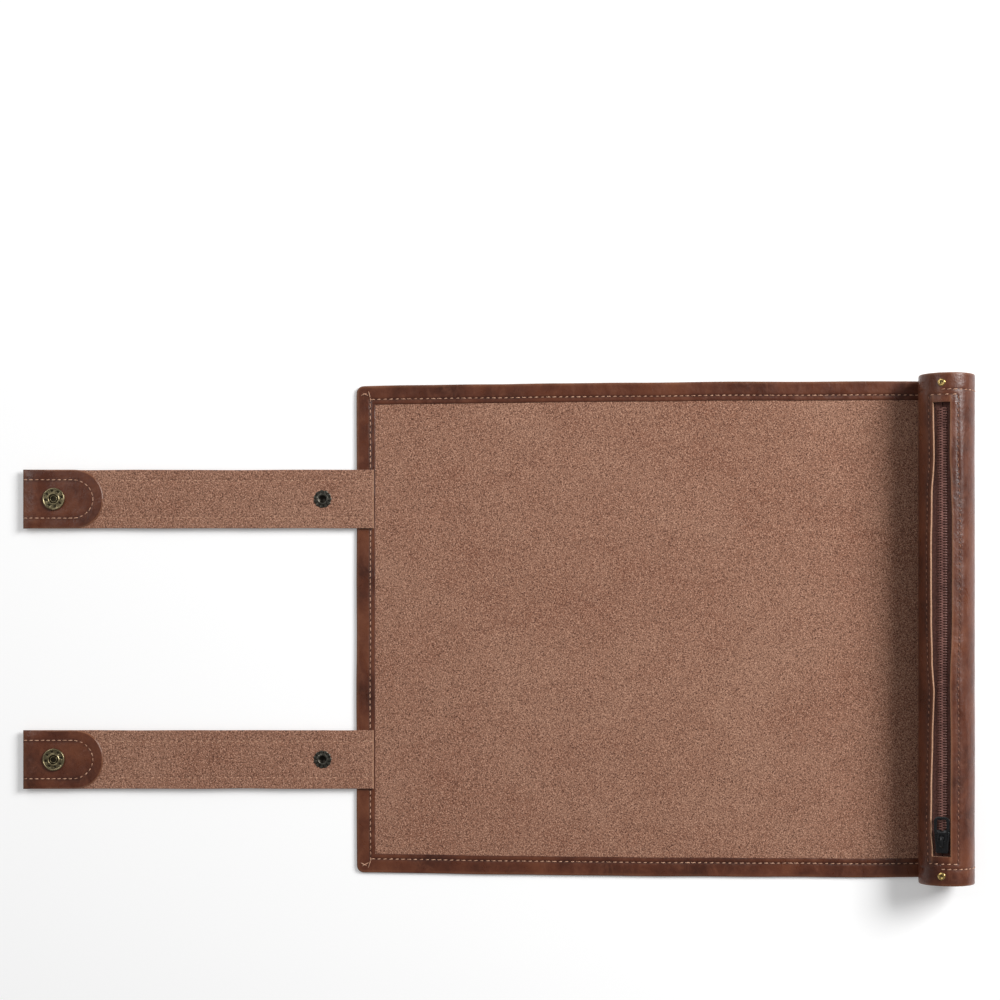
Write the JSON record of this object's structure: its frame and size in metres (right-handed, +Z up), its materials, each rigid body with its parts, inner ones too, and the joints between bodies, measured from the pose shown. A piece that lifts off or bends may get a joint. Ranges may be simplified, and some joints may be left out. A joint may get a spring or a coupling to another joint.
{
  "type": "folding dice bag",
  "caption": "Roll-up leather dice mat with a suede lining, a zipped pocket tube at one end and snap straps that hold the roll shut.",
  "frame": {"origin": "centre of the bounding box, on the table the open mat lies on", "axes": "+X from the strap tips towards the pocket tube, +Y along the tube towards the end away from the zip slider, +Z up"},
  "size_m": [0.5232, 0.278, 0.0308],
  "materials": {
    "leather": "waxed pull-up leather, reddish brown",
    "suede": "matt suede-like lining, tan brown",
    "zip_tape": "woven tape with a nylon coil, dark reddish brown",
    "black_metal": "black enamelled zinc casting",
    "antique_brass": "antique brass, darkened in the hollows",
    "dark_metal": "gunmetal-plated brass",
    "bright_brass": "polished brass"
  },
  "bodies": {
    "panel_01": {"panel_01": "leather"},
    "panel_02": {"panel_02": "leather"},
    "panel_03": {"panel_03": "leather"},
    "panel_04": {"panel_04": "leather"},
    "panel_05": {"panel_05": "leather"},
    "panel_06": {"panel_06": "leather"},
    "panel_07": {"panel_07": "leather"},
    "panel_08": {"panel_08": "leather"},
    "panel_09": {"panel_09": "leather"},
    "panel_10": {"panel_10": "leather"},
    "panel_11": {"panel_11": "leather"},
    "panel_12": {"panel_12": "leather"},
    "panel_13": {"panel_13": "leather"},
    "panel_14": {"panel_14": "leather"},
    "panel_15": {"panel_15": "leather"},
    "panel_16": {"panel_16": "leather"},
    "panel_17": {"panel_17": "leather", "mat_lining": "suede"},
    "panel_18": {"panel_18": "leather"},
    "panel_19": {"panel_19": "leather"},
    "panel_20": {"panel_20": "leather"},
    "panel_21": {"panel_21": "leather"},
    "panel_22": {"panel_22": "leather", "front_strap_base": "leather", "front_strap_lining": "suede", "rear_strap_base": "leather", "rear_strap_lining": "suede"},
    "pocket": {"pocket_tube": "leather", "front_end_disc": "leather", "rear_end_disc": "leather", "front_tack": "bright_brass", "rear_tack": "bright_brass", "zip_half_mat_side": "zip_tape", "zip_half_outer_side": "zip_tape"},
    "slider": {"zip_slider": "black_metal"},
    "pull": {"zip_pull": "black_metal"},
    "front_strap_1": {"front_strap_1": "leather", "front_snap_stud": "dark_metal"},
    "front_strap_2": {"front_strap_2": "leather"},
    "front_strap_3": {"front_strap_3": "leather"},
    "front_strap_4": {"front_strap_4": "leather"},
    "front_strap_5": {"front_strap_5": "leather"},
    "front_strap_6": {"front_strap_6": "leather"},
    "front_strap_7": {"front_strap_7": "leather"},
    "front_strap_8": {"front_strap_8": "leather"},
    "front_strap_9": {"front_strap_9": "leather", "front_snap_cap": "antique_brass", "front_snap_socket": "antique_brass"},
    "rear_strap_1": {"rear_strap_1": "leather", "rear_snap_stud": "dark_metal"},
    "rear_strap_2": {"rear_strap_2": "leather"},
    "rear_strap_3": {"rear_strap_3": "leather"},
    "rear_strap_4": {"rear_strap_4": "leather"},
    "rear_strap_5": {"rear_strap_5": "leather"},
    "rear_strap_6": {"rear_strap_6": "leather"},
    "rear_strap_7": {"rear_strap_7": "leather"},
    "rear_strap_8": {"rear_strap_8": "leather"},
    "rear_strap_9": {"rear_strap_9": "leather", "rear_snap_cap": "antique_brass", "rear_snap_socket": "antique_brass"}
  },
  "joints": [
    {"name": "roll_up", "type": "hinge", "parent": "panel_17", "child": "panel_16", "pos_m": [0.0153, 0, 0.0018], "axis": [0, -1, 0], "range_deg": [0, 45], "deforming": ["mat_lining"]},
    {"name": "fold_15", "type": "hinge", "parent": "panel_16", "child": "panel_15", "pos_m": [0.03121, 0, 0.0018], "axis": [0, -1, 0], "range_deg": [0, 45]},
    {"name": "fold_14", "type": "hinge", "parent": "panel_15", "child": "panel_14", "pos_m": [0.04692, 0, 0.0018], "axis": [0, -1, 0], "range_deg": [0, 45]},
    {"name": "fold_13", "type": "hinge", "parent": "panel_14", "child": "panel_13", "pos_m": [0.06241, 0, 0.0018], "axis": [0, -1, 0], "range_deg": [0, 45]},
    {"name": "fold_12", "type": "hinge", "parent": "panel_13", "child": "panel_12", "pos_m": [0.0777, 0, 0.0018], "axis": [0, -1, 0], "range_deg": [0, 45]},
    {"name": "fold_11", "type": "hinge", "parent": "panel_12", "child": "panel_11", "pos_m": [0.09277, 0, 0.0018], "axis": [0, -1, 0], "range_deg": [0, 45]},
    {"name": "fold_10", "type": "hinge", "parent": "panel_11", "child": "panel_10", "pos_m": [0.10764, 0, 0.0018], "axis": [0, -1, 0], "range_deg": [0, 45]},
    {"name": "fold_09", "type": "hinge", "parent": "panel_10", "child": "panel_09", "pos_m": [0.12229, 0, 0.0018], "axis": [0, -1, 0], "range_deg": [0, 45]},
    {"name": "fold_08", "type": "hinge", "parent": "panel_09", "child": "panel_08", "pos_m": [0.13674, 0, 0.0018], "axis": [0, -1, 0], "range_deg": [0, 45]},
    {"name": "fold_07", "type": "hinge", "parent": "panel_08", "child": "panel_07", "pos_m": [0.15098, 0, 0.0018], "axis": [0, -1, 0], "range_deg": [0, 45]},
    {"name": "fold_06", "type": "hinge", "parent": "panel_07", "child": "panel_06", "pos_m": [0.16501, 0, 0.0018], "axis": [0, -1, 0], "range_deg": [0, 45]},
    {"name": "fold_05", "type": "hinge", "parent": "panel_06", "child": "panel_05", "pos_m": [0.17883, 0, 0.0018], "axis": [0, -1, 0], "range_deg": [0, 45]},
    {"name": "fold_04", "type": "hinge", "parent": "panel_05", "child": "panel_04", "pos_m": [0.19244, 0, 0.0018], "axis": [0, -1, 0], "range_deg": [0, 45]},
    {"name": "fold_03", "type": "hinge", "parent": "panel_04", "child": "panel_03", "pos_m": [0.20584, 0, 0.0018], "axis": [0, -1, 0], "range_deg": [0, 45]},
    {"name": "fold_02", "type": "hinge", "parent": "panel_03", "child": "panel_02", "pos_m": [0.21904, 0, 0.0018], "axis": [0, -1, 0], "range_deg": [0, 45]},
    {"name": "fold_01", "type": "hinge", "parent": "panel_02", "child": "panel_01", "pos_m": [0.23202, 0, 0.0018], "axis": [0, -1, 0], "range_deg": [0, 45]},
    {"name": "tube_fold", "type": "hinge", "parent": "panel_01", "child": "pocket", "pos_m": [0.23876, 0, 0.0018], "axis": [0, -1, 0], "range_deg": [0, 29.66]},
    {"name": "fold_17", "type": "hinge", "parent": "panel_17", "child": "panel_18", "pos_m": [-0.00082, 0, 0.0018], "axis": [0, 1, 0], "range_deg": [0, 45]},
    {"name": "fold_18", "type": "hinge", "parent": "panel_18", "child": "panel_19", "pos_m": [-0.01715, 0, 0.0018], "axis": [0, 1, 0], "range_deg": [0, 45]},
    {"name": "fold_19", "type": "hinge", "parent": "panel_19", "child": "panel_20", "pos_m": [-0.03369, 0, 0.0018], "axis": [0, 1, 0], "range_deg": [0, 45]},
    {"name": "fold_20", "type": "hinge", "parent": "panel_20", "child": "panel_21", "pos_m": [-0.05044, 0, 0.0018], "axis": [0, 1, 0], "range_deg": [0, 45]},
    {"name": "fold_21", "type": "hinge", "parent": "panel_21", "child": "panel_22", "pos_m": [-0.06966, 0, 0.0018], "axis": [0, 1, 0], "range_deg": [0, 45]},
    {"name": "front_strap_fold_0", "type": "hinge", "parent": "panel_22", "child": "front_strap_1", "pos_m": [-0.08522, -0.072, 0.0034], "axis": [0, 1, 0], "range_deg": [0, 45]},
    {"name": "front_strap_fold_1", "type": "hinge", "parent": "front_strap_1", "child": "front_strap_2", "pos_m": [-0.1026, -0.072, 0.0034], "axis": [0, 1, 0], "range_deg": [0, 45]},
    {"name": "front_strap_fold_2", "type": "hinge", "parent": "front_strap_2", "child": "front_strap_3", "pos_m": [-0.12019, -0.072, 0.0034], "axis": [0, 1, 0], "range_deg": [0, 45]},
    {"name": "front_strap_fold_3", "type": "hinge", "parent": "front_strap_3", "child": "front_strap_4", "pos_m": [-0.13798, -0.072, 0.0034], "axis": [0, 1, 0], "range_deg": [0, 45]},
    {"name": "front_strap_fold_4", "type": "hinge", "parent": "front_strap_4", "child": "front_strap_5", "pos_m": [-0.15599, -0.072, 0.0034], "axis": [0, 1, 0], "range_deg": [0, 45]},
    {"name": "front_strap_fold_5", "type": "hinge", "parent": "front_strap_5", "child": "front_strap_6", "pos_m": [-0.1742, -0.072, 0.0034], "axis": [0, 1, 0], "range_deg": [0, 45]},
    {"name": "front_strap_close", "type": "hinge", "parent": "front_strap_6", "child": "front_strap_7", "pos_m": [-0.19262, -0.072, 0.0034], "axis": [0, 1, 0], "range_deg": [0, 45], "deforming": ["front_strap_lining"]},
    {"name": "front_strap_fold_7", "type": "hinge", "parent": "front_strap_7", "child": "front_strap_8", "pos_m": [-0.21429, -0.072, 0.0034], "axis": [0, 1, 0], "range_deg": [0, 45]},
    {"name": "front_strap_fold_8", "type": "hinge", "parent": "front_strap_8", "child": "front_strap_9", "pos_m": [-0.23209, -0.072, 0.0034], "axis": [0, 1, 0], "range_deg": [0, 45]},
    {"name": "rear_strap_fold_0", "type": "hinge", "parent": "panel_22", "child": "rear_strap_1", "pos_m": [-0.08522, 0.072, 0.0034], "axis": [0, 1, 0], "range_deg": [0, 45]},
    {"name": "rear_strap_fold_1", "type": "hinge", "parent": "rear_strap_1", "child": "rear_strap_2", "pos_m": [-0.1026, 0.072, 0.0034], "axis": [0, 1, 0], "range_deg": [0, 45]},
    {"name": "rear_strap_fold_2", "type": "hinge", "parent": "rear_strap_2", "child": "rear_strap_3", "pos_m": [-0.12019, 0.072, 0.0034], "axis": [0, 1, 0], "range_deg": [0, 45]},
    {"name": "rear_strap_fold_3", "type": "hinge", "parent": "rear_strap_3", "child": "rear_strap_4", "pos_m": [-0.13798, 0.072, 0.0034], "axis": [0, 1, 0], "range_deg": [0, 45]},
    {"name": "rear_strap_fold_4", "type": "hinge", "parent": "rear_strap_4", "child": "rear_strap_5", "pos_m": [-0.15599, 0.072, 0.0034], "axis": [0, 1, 0], "range_deg": [0, 45]},
    {"name": "rear_strap_fold_5", "type": "hinge", "parent": "rear_strap_5", "child": "rear_strap_6", "pos_m": [-0.1742, 0.072, 0.0034], "axis": [0, 1, 0], "range_deg": [0, 45]},
    {"name": "rear_strap_close", "type": "hinge", "parent": "rear_strap_6", "child": "rear_strap_7", "pos_m": [-0.19262, 0.072, 0.0034], "axis": [0, 1, 0], "range_deg": [0, 45], "deforming": ["rear_strap_lining"]},
    {"name": "rear_strap_fold_7", "type": "hinge", "parent": "rear_strap_7", "child": "rear_strap_8", "pos_m": [-0.21429, 0.072, 0.0034], "axis": [0, 1, 0], "range_deg": [0, 45]},
    {"name": "rear_strap_fold_8", "type": "hinge", "parent": "rear_strap_8", "child": "rear_strap_9", "pos_m": [-0.23209, 0.072, 0.0034], "axis": [0, 1, 0], "range_deg": [0, 45]},
    {"name": "zip_slide", "type": "slide", "parent": "pocket", "child": "slider", "axis": [0, 1, 0], "range_m": [0, 0.223], "deforming": ["zip_half_mat_side", "zip_half_outer_side"]},
    {"name": "pull_swing", "type": "hinge", "parent": "slider", "child": "pull", "pos_m": [0.24084, -0.1148, 0.02895], "axis": [-0.9272, 0, -0.3746], "range_deg": [-160, 0]}
  ],
  "couplings": [
    {"joint": "fold_15", "follows": "roll_up", "ratio": 1},
    {"joint": "fold_14", "follows": "roll_up", "ratio": 1},
    {"joint": "fold_13", "follows": "roll_up", "ratio": 1},
    {"joint": "fold_12", "follows": "roll_up", "ratio": 1},
    {"joint": "fold_11", "follows": "roll_up", "ratio": 1},
    {"joint": "fold_10", "follows": "roll_up", "ratio": 1},
    {"joint": "fold_09", "follows": "roll_up", "ratio": 1},
    {"joint": "fold_08", "follows": "roll_up", "ratio": 1},
    {"joint": "fold_07", "follows": "roll_up", "ratio": 1},
    {"joint": "fold_06", "follows": "roll_up", "ratio": 1},
    {"joint": "fold_05", "follows": "roll_up", "ratio": 1},
    {"joint": "fold_04", "follows": "roll_up", "ratio": 1},
    {"joint": "fold_03", "follows": "roll_up", "ratio": 1},
    {"joint": "fold_02", "follows": "roll_up", "ratio": 1},
    {"joint": "fold_01", "follows": "roll_up", "ratio": 1},
    {"joint": "tube_fold", "follows": "roll_up", "ratio": 0.65905},
    {"joint": "fold_17", "follows": "roll_up", "ratio": 1},
    {"joint": "fold_18", "follows": "roll_up", "ratio": 1},
    {"joint": "fold_19", "follows": "roll_up", "ratio": 1},
    {"joint": "fold_20", "follows": "roll_up", "ratio": 1},
    {"joint": "fold_21", "follows": "roll_up", "ratio": 1},
    {"joint": "front_strap_fold_0", "follows": "roll_up", "ratio": 1},
    {"joint": "front_strap_fold_1", "follows": "roll_up", "ratio": 1},
    {"joint": "front_strap_fold_2", "follows": "roll_up", "ratio": 1},
    {"joint": "front_strap_fold_3", "follows": "roll_up", "ratio": 1},
    {"joint": "front_strap_fold_4", "follows": "roll_up", "ratio": 1},
    {"joint": "front_strap_fold_5", "follows": "roll_up", "ratio": 1},
    {"joint": "front_strap_fold_7", "follows": "front_strap_close", "ratio": 1},
    {"joint": "front_strap_fold_8", "follows": "front_strap_close", "ratio": 1},
    {"joint": "rear_strap_fold_0", "follows": "roll_up", "ratio": 1},
    {"joint": "rear_strap_fold_1", "follows": "roll_up", "ratio": 1},
    {"joint": "rear_strap_fold_2", "follows": "roll_up", "ratio": 1},
    {"joint": "rear_strap_fold_3", "follows": "roll_up", "ratio": 1},
    {"joint": "rear_strap_fold_4", "follows": "roll_up", "ratio": 1},
    {"joint": "rear_strap_fold_5", "follows": "roll_up", "ratio": 1},
    {"joint": "rear_strap_fold_7", "follows": "rear_strap_close", "ratio": 1},
    {"joint": "rear_strap_fold_8", "follows": "rear_strap_close", "ratio": 1}
  ]
}
